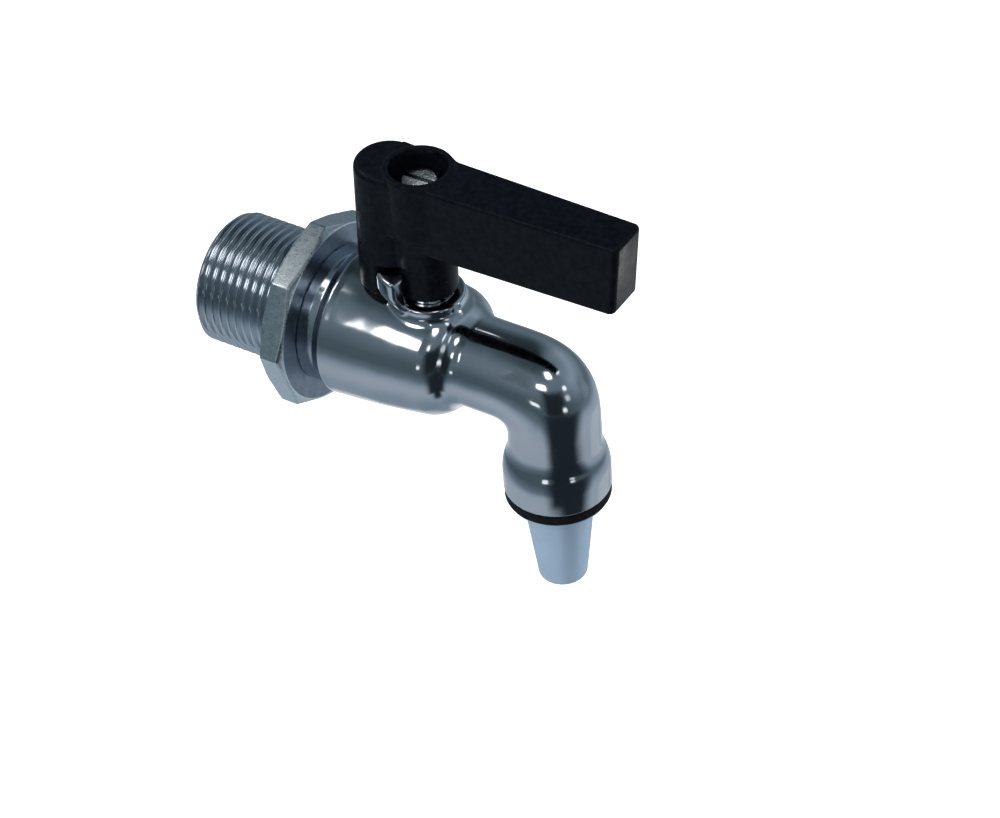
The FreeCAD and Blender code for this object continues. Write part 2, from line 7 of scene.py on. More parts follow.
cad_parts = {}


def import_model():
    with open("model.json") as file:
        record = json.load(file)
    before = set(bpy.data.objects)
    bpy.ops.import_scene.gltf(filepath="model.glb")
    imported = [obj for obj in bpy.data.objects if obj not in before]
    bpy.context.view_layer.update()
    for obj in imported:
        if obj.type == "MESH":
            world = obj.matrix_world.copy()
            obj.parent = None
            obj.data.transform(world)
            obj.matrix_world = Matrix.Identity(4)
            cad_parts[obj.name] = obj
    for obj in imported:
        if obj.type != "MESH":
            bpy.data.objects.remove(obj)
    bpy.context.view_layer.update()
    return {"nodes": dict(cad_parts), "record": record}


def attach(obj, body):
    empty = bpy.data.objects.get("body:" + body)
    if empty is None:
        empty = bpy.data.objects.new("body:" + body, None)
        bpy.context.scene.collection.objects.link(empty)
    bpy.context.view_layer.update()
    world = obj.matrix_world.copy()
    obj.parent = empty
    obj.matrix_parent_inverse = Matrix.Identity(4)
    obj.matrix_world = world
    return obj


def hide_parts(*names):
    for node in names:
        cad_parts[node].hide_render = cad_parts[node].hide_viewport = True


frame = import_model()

# Sizes are in millimetres and angles in degrees, unless a comment says otherwise. X runs along the pipe
# from the flange's inlet face, and Z up along the stem.
MM = 0.001
TINY = 1e-6
STEM_X = 27.6
SPOUT_X = 53.8
FLANGE_THICKNESS = 5.0

# Barrel: each corner is (x, radius)
NECK_RADIUS = 13.7             # behind the flange
NECK_GAP = 0.02
NECK_END = 20                  # inside the barrel
NECK_EDGE = 0.2
NECK_FILLET = 0.4
ENTRY_START = (9.2, 13.7)      # step up from the neck to the barrel
ENTRY_END = (10.1, 14.6)
ENTRY_EDGE = 0.5
BARREL_START = (12.0, 14.7)
BARREL_END = (33.3, 12.5)
BARREL_BULGE = 0.3
BULGE_X = 22.4
BULGE_REACH = 10.4
SHOULDER_END = (36.4, 9.0)
SHOULDER_EDGE = 1.5

# Boss on the barrel, with the stop lug
BOSS_RADIUS = 7.0
BOSS_TOP = 13.7
BOSS_EDGE = 0.5
BOSS_FILLET = 1.2
LUG_INNER_RADIUS = 6.2
LUG_OUTER_RADIUS = 10.0
LUG_BOTTOM = 8
LUG_TOP = 21.0
LUG_START = 228.5              # about the stem
LUG_END = 262.0
LUG_EDGE = 0.8
LUG_INNER_EDGE = 0.4
LUG_SIDE_EDGE = 0.9
LUG_FOOT_TOP = 16.8            # below this the lug's outside leans in
LUG_FOOT_SLOPE = 0.62
LUG_FOOT_SCALE = 0.85          # turns the leaning side's field into a distance
LUG_FOOT_EDGE = 0.6

# Spout and collar, with depths below the pipe axis: each corner is (radius, depth)
TUBE_RADIUS = 9.0
TUBE_BORE_RADIUS = 5.5
TUBE_START = 30.0              # inside the barrel
TUBE_END = 23.0                # inside the collar
TUBE_FILLET = 1.4
BEND_INSIDE = 1.2              # radius of the bend's inner corner
BEND_FULLNESS = 1.2            # how far the bend's outside swells
COLLAR_RADIUS = 10.45
COLLAR_TOP = 12.0
COLLAR_BOTTOM = 23.7
COLLAR_SLOPE_START = (9.0, 13.8)
COLLAR_SLOPE_END = (10.45, 17.3)
COLLAR_EDGE = 0.3
COLLAR_SLOPE_EDGE = 0.7
COLLAR_FILLET = 0.6

# Bores of the body: start, end and radius, along the pipe, down the spout and up the stem
PIPE_BORES = [(0, 17.8, 10.93), (17, 31.9, 9.2), (31, 34.8, 7.9)]
SPOUT_BORES = [(15.7, 30, 7.43)]
STEM_BORES = [(0, 10.0, 4.85), (9, 12, 3.55), (10.8, 30, 4.6)]
BORE_EDGE = 0.2

# Lever
LEVER_TOP = 42.1
LEVER_FILLET = 0.5
HUB_RADIUS = 6.8
HUB_BOTTOM = 29.2
HUB_TOP = 42.6
HUB_EDGE = 0.5
SLEEVE_BOTTOM = 15.0
SLEEVE_END = 31                # inside the hub
SLEEVE_RADIUS = 5.75           # at its foot
SLEEVE_WIDENING = 0.35         # up to the hub
SLEEVE_LENGTH = 14.2
SLEEVE_EDGE = 0.35
BAR_BOTTOM = 26.3
BAR_HALF_WIDTH = 5.6           # at the stem
BAR_NARROWING = 1.1            # from the stem to the tip
BAR_REACH = 44.6
BAR_WALL = 2.2
BAR_EDGE = 0.95
BAR_FILLET = 0.8
TIP_TOP = (72.2, 42.1)         # (x, z) of the slanted end face
TIP_BOTTOM = (70.7, 26.3)
TIP_EDGE = 1.3
HEEL_X = STEM_X - 6.8
HEEL_RADIUS = 7.3              # at its foot
HEEL_NARROWING = 0.9           # up to the top
HEEL_LENGTH = 27.1
HEEL_EDGE = 1.4
WEB_HALF_WIDTH = 6.35          # between the hub and the heel
WEB_EDGE = 1.2
FOOT_WEB_HALF_WIDTH = 2.9      # between the sleeve and the heel
FOOT_WEB_BOTTOM = 15.2
POCKETS = 3
POCKET_START = 38.6
POCKET_LENGTH = 8.833
POCKET_PITCH = 10.433
POCKET_ROOF = 37.3
POCKET_EDGE = 0.25
NOTCH_START = 225.73           # about the stem
NOTCH_END = 292.0
NOTCH_TOP = 21.8
NOTCH_RADIUS = 5.9
NOTCH_EDGE = 0.25

# Holes of the lever about the stem: bottom, top, radius and edge
LEVER_BORES = [(35.4, 50, 5.55, 0.25), (10, 18.2, 4.9, 0.2), (18, 36, 4.5, 0.05), (34.4, 35.5, 4.9, 0.05)]

# How the fields become meshes
CELL = 0.36
BODY_ROOM = ((4.2, -16.4, -24.6), (64.6, 16.4, 23.0))
LEVER_ROOM = ((12.6, -8.4, 14.2), (73.0, 8.4, 43.4))
SETTLE_ROUNDS = 4
SETTLE_STEP = 0.4              # longest move of a point in one round, in cells
SLOPE_REACH = 0.02             # half the distance over which a field's slope is taken
NORMAL_REACH = 0.05
SLOPE_FLOOR = 0.05

# Inlet: thread of 14 turns to the inch, octagonal flange, and the nose inside the barrel
THREAD_PITCH = 25.4 / 14
THREAD_RADIUS = 13.22
THREAD_DEPTH = 1.16
THREAD_LENGTH = 19.7
THREAD_CREST = 0.16            # share of the pitch
THREAD_FLANK = 0.68
THREAD_ROUNDING = 0.6
THREAD_ROWS_START = 0.35       # from the flange's face
THREAD_ROWS_STEP = 0.125
THREAD_ROWS_END = 0.05         # from the free end
RUNOUT_START = 0.2             # the thread comes up to its height over this stretch
RUNOUT_LENGTH = 0.9
CHAMFER_DROP = 1.35            # below the crest at the free end
END_DROP = 1.45
END_LIP = (8.9, 8.6, 0.12)     # radii of the free end's inner edge, and its depth
INLET_BORE_RADIUS = 8.5
INLET_BORE_START = 0.5         # from the free end
INLET_BORE_END = 16.6
INLET_BORE_ROWS = 12
NOSE_CORNERS = [               # (x, radius)
    (17.0, 8.5), (17.0, 5.6), (20.4, 5.6), (20.4, 7.9), (22.6, 7.9), (22.6, 9.0), (17.0, 9.0), (17.0, 10.9),
    (5.05, 10.9), (FLANGE_THICKNESS, 11.0)]
FLANGE_FLAT = 36.3 / 2
FLANGE_TURN = 2.7
FLANGE_CHAMFER = math.tan(math.radians(20.0))
CORNER_ANGLE = 45.0            # from one corner of the octagon to the next
CORNER_SOFTNESS = 0.35
RING_STEP = 1.8
CORNER_STEPS = (-0.9, -0.55, -0.25, 0, 0.25, 0.55, 0.9)
FACE_INSETS = (0.4, 0.12)      # rows on a face, inside the flats
BACK_INSET = 2.0
CHAMFER_MIDDLE = (0.06, 0.03)  # depth below the face and inset, halfway over the chamfer
RIM_ROUNDING = [(0.1, 0.12), (0.22, 0.03), (0.5, 0.0)]
FACE_ROOT = 0.6                # where the front face ends, outside the thread's crest
THREAD_FILLET = (0.15, 0.1)    # height and length at the flange's face
# The back band takes the flange's plating darkened with painted shade
THREAD_BAND, FACE_BAND, SHADED_BACK_BAND = range(3)

# Turned pieces: each corner is (radius, height, rounding)
ROUND_STEPS = 6
SEGMENTS = 160
NOZZLE_CORNERS = [
    (3.4, -44.0, 0), (3.4, -30.0, 0), (5.4, -15.8, 0.3), (7.4, -15.8, 0.3), (7.4, -25.7, 0),
    (9.8, -25.7, 0.25), (9.8, -26.9, 0.35), (7.1, -26.9, 0.35), (4.77, -47.1, 0.9), (3.4, -47.1, 0.3)]
RING_CORNERS = [
    (7.42, -24.7, 0), (7.42, -23.72, 0.1), (10.35, -23.72, 0.4), (10.35, -26.2, 0.7), (9.86, -26.2, 0.1),
    (9.86, -25.68, 0), (7.42, -25.68, 0.1)]

# The span of a noise that the gloss and the colour of a finish follow
GLOSS_SPAN = (0.3, 0.7)
SHADE_SPAN = (0.35, 0.65)

# Camera, fitted to the photograph: its direction and distance from the stem, and its shift
CAMERA_TURN = 34.39
CAMERA_HEIGHT = 40.61
CAMERA_ROLL = -4.32
CAMERA_DISTANCE = 667.06
CAMERA_RIGHT = 12.54
CAMERA_DOWN = 12.14
SENSOR_WIDTH = 36.0
LENS = 126.0
CLIP_START = 0.01              # in metres
NEAR_CAMERA = Vector((0.565, -0.825, 0.0))

# Cards that only reflections see. Each has its name, the point that it stands round, the turns from
# NEAR_CAMERA and the heights that it covers, its distance, colour, strength, and the shares of it that fade
# across and up.
WHITE = (1, 1, 1)
NIGHT = (0.016, 0.022, 0.030)
FALL = (58, -5, -8)
CARD_STEPS = 8
CARDS = [
    ("flag_left", FALL, (-36, 44), (-50, -6), 110, NIGHT, 1.0, (0.35, 0.1)),
    ("flag_right", FALL, (-16, 76), (-66, -3), 130, NIGHT, 1.0, (0.35, 0.15)),
    ("light_barrel", (27, -9, 9), (-57, -33), (27, 48), 600, WHITE, 3.6, (0.1, 0.2)),
    ("light_thread", (-10, -8, 11), (-118, -72), (46, 62), 100, WHITE, 3.4, (0.15, 0.2)),
    ("light_lever_end", (72, 0, 34), (103, 123), (-52, -31), 50, WHITE, 4.2, (0.3, 0.3)),
    ("shade_bend", (55, -5, 6), (-68, -32), (20, 52), 60, (0.11, 0.145, 0.17), 1.0, (0.12, 0.15)),
    ("light_neck", (2, -6, 11), (-124, -92), (53, 68), 120, WHITE, 2.4, (0.25, 0.25)),
    ("shade_right", (63, 2, 0), (74, 122), (-14, 36), 20, (0.17, 0.22, 0.27), 1.0, (0.2, 0.2)),
    ("light_screw", (27.6, 0, 39), (176, 183.5), (38.2, 43.2), 70, WHITE, 1.6, (0.25, 0.25)),
]

# Brightness of the room by height above the level, towards three sides
LEFT_SIDE = [
    (-90, 0.28), (-70, 0.32), (-52, 0.44), (-42, 0.46), (-33, 0.38), (-24, 0.19), (-12, 0.11), (2, 0.115),
    (20, 0.18), (45, 0.20), (56, 0.15), (66, 0.08), (90, 0.05)]
RIGHT_SIDE = [
    (-90, 0.28), (-60, 0.40), (-34, 0.46), (-24, 0.40), (-14, 0.20), (-4, 0.15), (10, 0.26), (30, 0.36),
    (42, 0.28), (60, 0.20), (75, 0.12), (90, 0.05)]
BEHIND = [
    (-90, 0.28), (-60, 0.75), (-50, 0.85), (-38, 0.60), (-28, 0.28), (-10, 0.16), (15, 0.18), (28, 0.11),
    (40, 0.05), (60, 0.03), (80, 0.03), (90, 0.05)]
RIGHT_FROM = (42, 80)          # turns over which the left side gives way to the right
BEHIND_FROM = (138, 170)       # turns over which both give way to what is behind

# Dark doorway towards the camera: the turns and heights over which its edges fade
DOORWAY_LEFT = (-20, -6)
DOORWAY_RIGHT = (26, 46)
DOORWAY_BOTTOM = (-20, -5)
DOORWAY_TOP = (22, 36)
DOORWAY_BRIGHTNESS = 0.022

# Colour of the room by its brightness
ROOM_COLORS = [
    (0.0, (0, 0, 0)), (0.12, (0.083, 0.12, 0.138)), (0.35, (0.277, 0.35, 0.413)), (0.85, (0.85, 0.85, 0.85)),
    (1.0, (1, 1, 1))]

# Soft lamps that only reflections see: turn, height, half width, half height, strength
SOFT_LAMPS = [
    (-11, 36, 10, 6, 2.4), (18, 60, 14, 8, 2.6), (-27, 0, 6, 3, 1.3), (30, -2, 5, 3, 1.3),
    (68, 57, 12, 5, 1.6), (48, 30, 6, 4, 1.3), (44, 13, 6, 5, 0.6), (113, -41, 22, 10, 0.1)]
LAMP_SQUARENESS = 4.0
LAMP_FADE = (0.7, 1.1)         # from full to nothing, in half widths

# Light on rough surfaces, the floor and two lamps, in metres
AMBIENT_COLOR = (0.92, 0.96, 1.0, 1)
AMBIENT_STRENGTH = 0.6
FLOOR_HALF_WIDTH = 3.0
FLOOR_HEIGHT = -0.085
FLOOR_COLOR = (0.9, 0.9, 0.9, 1)
FLOOR_ROUGHNESS = 0.9
FLOOR_GLOW = 0.75
LAMP_TARGET = Vector((0.035, 0, 0))
LAMPS = [                      # name, place, power, size
    ("key", (-0.25, -0.5, 0.45), 2.6, 0.3),
    ("top", (0.15, 0.1, 0.7), 2.2, 0.5),
]


# Shapes as distance fields

def join(a, b, r):
    """Two fields joined, with a fillet of radius r between them."""
    u = np.maximum(r - a, 0)
    v = np.maximum(r - b, 0)
    return np.maximum(r, np.minimum(a, b)) - np.hypot(u, v)


def meet(a, b, r):
    """What two fields share, with its edge rounded to radius r."""
    u = np.maximum(r + a, 0)
    v = np.maximum(r + b, 0)
    return np.minimum(-r, np.maximum(a, b)) + np.hypot(u, v)


def cut(a, b, r):
    """The first field without the second, with the edge rounded to radius r."""
    return meet(a, -b, r)


def line_side(u, v, p, q):
    """Distance to the left of the line from p to q."""
    du, dv = q[0] - p[0], q[1] - p[1]
    return ((v - p[1]) * du - (u - p[0]) * dv) / math.hypot(du, dv)


def rod(along, across, low, high, radius, edge):
    """A round bar from low to high; across is the distance from its axis."""
    ends = np.maximum(low - along, along - high)
    return meet(across - radius, ends, edge)


def wedge(x, y, start, end):
    """The space between two directions about the stem, in degrees."""
    a, b = math.radians(start), math.radians(end)
    first = x * math.sin(a) - y * math.cos(a)
    last = y * math.cos(b) - x * math.sin(b)
    return np.maximum(first, last)


def bent_tube(x, y, z, radius, fullness):
    """Level tube, bend and falling tube; fullness swells the bend's outside."""
    pivot_x = SPOUT_X - TUBE_RADIUS - BEND_INSIDE
    pivot_z = -TUBE_RADIUS - BEND_INSIDE
    level = np.hypot(y, z) - radius
    fall = np.hypot(x - SPOUT_X, y) - radius
    u = x - pivot_x
    w = z - pivot_z
    turn = np.arctan2(np.maximum(u, 0), np.maximum(w, TINY))
    half = radius + fullness * np.sin(2 * turn) ** 2
    middle = SPOUT_X - pivot_x - radius + half
    s = (np.hypot(u, w) - middle) / half
    bend = (np.sqrt(s ** 2 + (y / radius) ** 2) - 1) * radius
    before = np.where(w < 0, np.minimum(level, fall), level)
    return np.where(u < 0, before, np.where(w < 0, fall, bend))


def body_field(x, y, z):
    """Barrel, boss, stop lug, bent tube and collar, with their bores."""
    r = np.hypot(y, z)
    rs = np.hypot(x - STEM_X, y)
    rn = np.hypot(x - SPOUT_X, y)
    bulge = BARREL_BULGE * np.clip(1 - ((x - BULGE_X) / BULGE_REACH) ** 2, 0, 1)
    side = line_side(x, r - bulge, BARREL_START, BARREL_END)
    entry = line_side(x, r, ENTRY_START, ENTRY_END)
    shoulder = line_side(x, r, BARREL_END, SHOULDER_END)
    out = meet(meet(side, entry, ENTRY_EDGE), shoulder, SHOULDER_EDGE)
    neck = rod(x, r, FLANGE_THICKNESS + NECK_GAP, NECK_END, NECK_RADIUS, NECK_EDGE)
    out = join(out, neck, NECK_FILLET)
    out = join(out, rod(z, rs, 0, BOSS_TOP, BOSS_RADIUS, BOSS_EDGE), BOSS_FILLET)
    lug = rod(z, rs, LUG_BOTTOM, LUG_TOP, LUG_OUTER_RADIUS, LUG_EDGE)
    lug = cut(lug, rs - LUG_INNER_RADIUS, LUG_INNER_EDGE)
    lug = meet(lug, wedge(x - STEM_X, y, LUG_START, LUG_END), LUG_SIDE_EDGE)
    foot = (rs - LUG_OUTER_RADIUS + (LUG_FOOT_TOP - z) * LUG_FOOT_SLOPE) * LUG_FOOT_SCALE
    out = join(out, meet(lug, foot, LUG_FOOT_EDGE), BOSS_FILLET)
    tube = bent_tube(x, y, z, TUBE_RADIUS, BEND_FULLNESS)
    tube = np.maximum(tube, np.maximum(TUBE_START - x, -TUBE_END - z))
    out = join(out, tube, TUBE_FILLET)
    slope = line_side(rn, -z, COLLAR_SLOPE_START, COLLAR_SLOPE_END)
    collar = rod(-z, rn, COLLAR_TOP, COLLAR_BOTTOM, COLLAR_RADIUS, COLLAR_EDGE)
    out = join(out, meet(collar, -slope, COLLAR_SLOPE_EDGE), COLLAR_FILLET)
    inside = np.maximum(bent_tube(x, y, z, TUBE_BORE_RADIUS, 0.0), TUBE_START - x)
    for along, across, bores in ((x, r, PIPE_BORES), (-z, rn, SPOUT_BORES), (z, rs, STEM_BORES)):
        for low, high, radius in bores:
            inside = np.minimum(inside, rod(along, across, low, high, radius, 0))
    return cut(out, inside, BORE_EDGE)


def bar_half_width(x):
    """Half the width of the lever's bar, which narrows to its tip."""
    return BAR_HALF_WIDTH - (x - STEM_X) * BAR_NARROWING / BAR_REACH


def lever_field(x, y, z):
    """Hub, sleeve, bar and heel, with the pockets, the holes about the stem and the notch."""
    rs = np.hypot(x - STEM_X, y)
    hub = rod(z, rs, HUB_BOTTOM, HUB_TOP, HUB_RADIUS, HUB_EDGE)
    sleeve_radius = SLEEVE_RADIUS + (z - SLEEVE_BOTTOM) * SLEEVE_WIDENING / SLEEVE_LENGTH
    sleeve = meet(rs - sleeve_radius, np.maximum(SLEEVE_BOTTOM - z, z - SLEEVE_END), SLEEVE_EDGE)
    bar = meet(np.abs(y) - bar_half_width(x), line_side(x, z, TIP_TOP, TIP_BOTTOM), TIP_EDGE)
    bar = meet(bar, np.maximum(BAR_BOTTOM - z, z - LEVER_TOP), BAR_EDGE)
    bar = np.maximum(bar, STEM_X - x)
    heel_radius = HEEL_RADIUS - (z - SLEEVE_BOTTOM) * HEEL_NARROWING / HEEL_LENGTH
    heel = meet(np.hypot(x - HEEL_X, y) - heel_radius, z - LEVER_TOP, HEEL_EDGE)
    heel = meet(heel, SLEEVE_BOTTOM - z, SLEEVE_EDGE)
    between = np.maximum(HEEL_X - x, x - STEM_X)
    web = meet(np.abs(y) - WEB_HALF_WIDTH, z - LEVER_TOP, WEB_EDGE)
    web = np.maximum(web, np.maximum(HUB_BOTTOM - z, between))
    foot = np.maximum(np.maximum(FOOT_WEB_BOTTOM - z, z - SLEEVE_END), between)
    foot = np.maximum(np.abs(y) - FOOT_WEB_HALF_WIDTH, foot)
    out = join(np.minimum(hub, web), heel, LEVER_FILLET)
    out = join(out, bar, BAR_FILLET)
    out = join(out, sleeve, LEVER_FILLET)
    out = join(out, foot, LEVER_FILLET)
    for i in range(POCKETS):
        start = POCKET_START + i * POCKET_PITCH
        stop = start + POCKET_LENGTH
        room = bar_half_width(stop) - BAR_WALL
        pocket = np.maximum(np.maximum(start - x, x - stop), np.maximum(np.abs(y) - room, z - POCKET_ROOF))
        out = cut(out, pocket, POCKET_EDGE)
    for low, high, radius, edge in LEVER_BORES:
        out = cut(out, rod(z, rs, low, high, radius, 0), edge)
    notch = wedge(x - STEM_X, y, NOTCH_START, NOTCH_END)
    notch = np.maximum(notch, np.maximum(z - NOTCH_TOP, NOTCH_RADIUS - rs))
    return cut(out, notch, NOTCH_EDGE)


def surface(field, low, high, step):
    """The points and four-sided faces of a field's zero surface, one point to a cell."""
    axes = [np.arange(a, b + step, step) for a, b in zip(low, high)]
    value = field(*np.meshgrid(*axes, indexing="ij"))
    cells = tuple(n - 1 for n in value.shape)
    total = np.zeros(cells + (3,))
    count = np.zeros(cells)

    def corner(offset):
        return value[tuple(slice(o, o + n) for o, n in zip(offset, cells))]

    for axis in range(3):
        for other in range(4):
            near = [0, 0, 0]
            near[(axis + 1) % 3] = other & 1
            near[(axis + 2) % 3] = other >> 1
            far = list(near)
            far[axis] = 1
            a, b = corner(near), corner(far)
            crossing = (a < 0) != (b < 0)
            gap = np.where(crossing, a - b, 1.0)
            total[..., axis] += np.where(crossing, a / gap, 0)
            for k in range(3):
                if near[k]:
                    total[..., k] += crossing
            count += crossing
    active = count > 0
    index = np.full(cells, -1)
    index[active] = np.arange(int(active.sum()))
    points = np.array(low) + step * (np.argwhere(active) + total[active] / count[active][:, None])
    faces = []
    for axis in range(3):
        u, v = (axis + 1) % 3, (axis + 2) % 3
        first = [slice(1, -1)] * 3
        first[axis] = slice(0, -1)
        last = list(first)
        last[axis] = slice(1, None)
        a, b = value[tuple(first)], value[tuple(last)]
        crossing = (a < 0) != (b < 0)
        edge = np.argwhere(crossing)
        edge[:, u] += 1
        edge[:, v] += 1
        quad = []
        for du, dv in ((-1, -1), (0, -1), (0, 0), (-1, 0)):
            cell = edge.copy()
            cell[:, u] += du
            cell[:, v] += dv
            quad.append(index[cell[:, 0], cell[:, 1], cell[:, 2]])
        quad = np.stack(quad, axis=1)
        flip = a[crossing] > 0
        quad[flip] = quad[flip][:, ::-1]
        faces.append(quad)
    return points, np.concatenate(faces)


def gradient(field, points, reach):
    """The slope of a field at each point, taken over reach to either side."""
    out = np.empty_like(points)
    for k in range(3):
        step = np.zeros(3)
        step[k] = reach
        out[:, k] = (field(*(points + step).T) - field(*(points - step).T)) / (2 * reach)
    return out


def add_object(name, data):
    """Puts a mesh, a lamp or a camera in the scene."""
    item = bpy.data.objects.new(name, data)
    bpy.context.collection.objects.link(item)
    return item


def field_mesh(name, field, room):
    """A piece whose points lie on the field's zero surface, with the field's own normals."""
    points, faces = surface(field, *room, CELL)
    for _ in range(SETTLE_ROUNDS):
        g = gradient(field, points, SLOPE_REACH)
        move = field(*points.T)[:, None] * g / np.maximum((g * g).sum(axis=1), SLOPE_FLOOR)[:, None]
        length = np.linalg.norm(move, axis=1)
        move *= np.minimum(1, SETTLE_STEP * CELL / np.maximum(length, TINY))[:, None]
        points = points - move
    g = gradient(field, points, NORMAL_REACH)
    normals = g / np.maximum(np.linalg.norm(g, axis=1), TINY)[:, None]
    mesh = bpy.data.meshes.new(name)
    mesh.from_pydata((points * MM).tolist(), [], faces.tolist())
    mesh.polygons.foreach_set("use_smooth", [True] * len(mesh.polygons))
    mesh.normals_split_custom_set_from_vertices(normals.tolist())
    mesh.update()
    return add_object(name, mesh)


# Turned shapes

def rounded_profile(corners):
    """Rounds the corners of an open profile; each corner is (u, v, radius)."""
    out = []
    for i, (u, v, r) in enumerate(corners):
        here = Vector((u, v))
        if r == 0 or i == 0 or i == len(corners) - 1:
            out.append((u, v))
            continue
        a = (Vector(corners[i - 1][:2]) - here).normalized()
        b = (Vector(corners[i + 1][:2]) - here).normalized()
        half = a.angle(b) / 2
        centre = here + (a + b).normalized() * (r / math.sin(half))
        back = r / math.tan(half)
        start = here + a * back - centre
        end = here + b * back - centre
        sweep = start.angle_signed(end)
        for k in range(ROUND_STEPS + 1):
            t = -sweep * k / ROUND_STEPS
            c, s = math.cos(t), math.sin(t)
            out.append((centre.x + start.x * c - start.y * s, centre.y + start.x * s + start.y * c))
    return out


def grid_mesh(name, rows):
    """A closed piece from rings of points, the last ring joined to the first."""
    rows = np.array(rows)
    count, ring = rows.shape[:2]
    faces = []
    for i in range(count):
        a, b = i * ring, ((i + 1) % count) * ring
        for j in range(ring):
            k = (j + 1) % ring
            faces.append((a + j, a + k, b + k, b + j))
    mesh = bpy.data.meshes.new(name)
    mesh.from_pydata((rows.reshape(-1, 3) * MM).tolist(), [], faces)
    mesh.polygons.foreach_set("use_smooth", [True] * len(mesh.polygons))
    mesh.validate()
    mesh.update()
    piece = add_object(name, mesh)
    piece.modifiers.new("weighted", "WEIGHTED_NORMAL").keep_sharp = True
    return piece


def turned(name, corners, x):
    """A closed turned piece about an upright axis at x, from (radius, height, rounding) corners."""
    middle = ((corners[0][0] + corners[-1][0]) / 2, (corners[0][1] + corners[-1][1]) / 2, 0)
    profile = rounded_profile([middle] + corners + [middle])[:-1]
    angles = np.linspace(0, 2 * math.pi, SEGMENTS, endpoint=False)
    rows = [[(x + r * math.cos(a), r * math.sin(a), z) for a in angles] for r, z in profile]
    return grid_mesh(name, rows)


def ring_angles():
    """Even angles, with more of them near the octagon's corners."""
    angles = list(np.arange(0, 360, RING_STEP))
    for corner in np.arange(0, 360, CORNER_ANGLE):
        angles += [(FLANGE_TURN + corner + step) % 360 for step in CORNER_STEPS]
    return np.radians(np.array(sorted(set(np.round(angles, 3)))))


def octagon_radius(angles):
    """The octagon's radius at each angle, with its corners softened."""
    half = CORNER_ANGLE / 2
    away = np.abs((np.degrees(angles) - FLANGE_TURN + half) % CORNER_ANGLE - half)
    soft = np.sqrt(away ** 2 + CORNER_SOFTNESS ** 2)
    return FLANGE_FLAT / np.cos(np.radians(half - soft))


def thread_depth(x, angles):
    """How far below the crest the thread lies: Whitworth flanks with rounded crests and roots."""
    u = (x / THREAD_PITCH + angles / (2 * math.pi)) % 1.0
    ramp = np.clip((np.abs(2 * u - 1) - THREAD_CREST) / THREAD_FLANK, 0, 1)
    smooth_ramp = ramp * ramp * (3 - 2 * ramp)
    return THREAD_DEPTH * (smooth_ramp * THREAD_ROUNDING + ramp * (1 - THREAD_ROUNDING))


def connector():
    """Threaded inlet, octagonal flange and the nose inside the barrel, in one closed grid."""
    angles = ring_angles()
    ones = np.ones_like(angles)
    rim = octagon_radius(angles)
    past = rim - FLANGE_FLAT
    rise = past * FLANGE_CHAMFER
    rows = []
    bands = []

    def add(x, r, band):
        """Adds a ring of points; band is the look of the faces that end at it."""
        x = x * ones
        r = r * ones
        rows.append(np.stack([x, r * np.sin(angles), r * np.cos(angles)], axis=1))
        bands.append(band)

    for x in np.linspace(-THREAD_LENGTH + INLET_BORE_START, INLET_BORE_END, INLET_BORE_ROWS):
        add(x, INLET_BORE_RADIUS, THREAD_BAND)
    for x, r in NOSE_CORNERS:
        add(x, r, THREAD_BAND)

    middle_depth, middle_inset = CHAMFER_MIDDLE
    middle = FLANGE_FLAT - middle_inset + past * 0.5
    outer, inner = FACE_INSETS
    # Rings on the flange's back, whose faces take the plating darkened with painted shade
    add(FLANGE_THICKNESS, FLANGE_FLAT - BACK_INSET, SHADED_BACK_BAND)
    add(FLANGE_THICKNESS, FLANGE_FLAT - outer, SHADED_BACK_BAND)
    add(FLANGE_THICKNESS, FLANGE_FLAT - inner, FACE_BAND)
    add(FLANGE_THICKNESS - middle_depth - rise * 0.5, middle, FACE_BAND)
    for depth, inset in RIM_ROUNDING:
        add(FLANGE_THICKNESS - depth - rise, rim - inset, FACE_BAND)
    add(FLANGE_THICKNESS / 2, rim, FACE_BAND)
    for depth, inset in reversed(RIM_ROUNDING):
        add(depth + rise, rim - inset, FACE_BAND)
    add(middle_depth + rise * 0.5, middle, FACE_BAND)
    add(0, FLANGE_FLAT - inner, FACE_BAND)
    add(0, FLANGE_FLAT - outer, FACE_BAND)
    add(0, THREAD_RADIUS + FACE_ROOT, FACE_BAND)

    fillet_height, fillet_length = THREAD_FILLET
    add(0, THREAD_RADIUS - THREAD_DEPTH + fillet_height, THREAD_BAND)
    add(-fillet_length, THREAD_RADIUS - THREAD_DEPTH, THREAD_BAND)
    for x in np.arange(-THREAD_ROWS_START, -THREAD_LENGTH + THREAD_ROWS_END, -THREAD_ROWS_STEP):
        start = np.clip((-x - RUNOUT_START) / RUNOUT_LENGTH, 0, 1)
        depth = THREAD_DEPTH - (THREAD_DEPTH - thread_depth(x, angles)) * start
        limit = THREAD_RADIUS - CHAMFER_DROP + (x + THREAD_LENGTH)
        add(x, np.minimum(THREAD_RADIUS - depth, limit), THREAD_BAND)
    lip_outer, lip_inner, lip_depth = END_LIP
    add(-THREAD_LENGTH, THREAD_RADIUS - END_DROP, THREAD_BAND)
    add(-THREAD_LENGTH, lip_outer, THREAD_BAND)
    add(-THREAD_LENGTH + lip_depth, lip_inner, THREAD_BAND)

    piece = grid_mesh("inlet_connector_threaded", rows)
    for face in piece.data.polygons:
        face.material_index = bands[(face.index // len(angles) + 1) % len(bands)]
    return piece


# Materials

def noise(mat, scale, detail, stretch=(1, 1, 1)):
    """A noise that is fixed to the piece."""
    nodes, links = mat.node_tree.nodes, mat.node_tree.links
    place = nodes.new("ShaderNodeTexCoord")
    spread = nodes.new("ShaderNodeMapping")
    spread.inputs["Scale"].default_value = stretch
    texture = nodes.new("ShaderNodeTexNoise")
    texture.inputs["Scale"].default_value = scale
    texture.inputs["Detail"].default_value = detail
    links.new(place.outputs["Object"], spread.inputs["Vector"])
    links.new(spread.outputs["Vector"], texture.inputs["Vector"])
    return texture.outputs["Fac"]


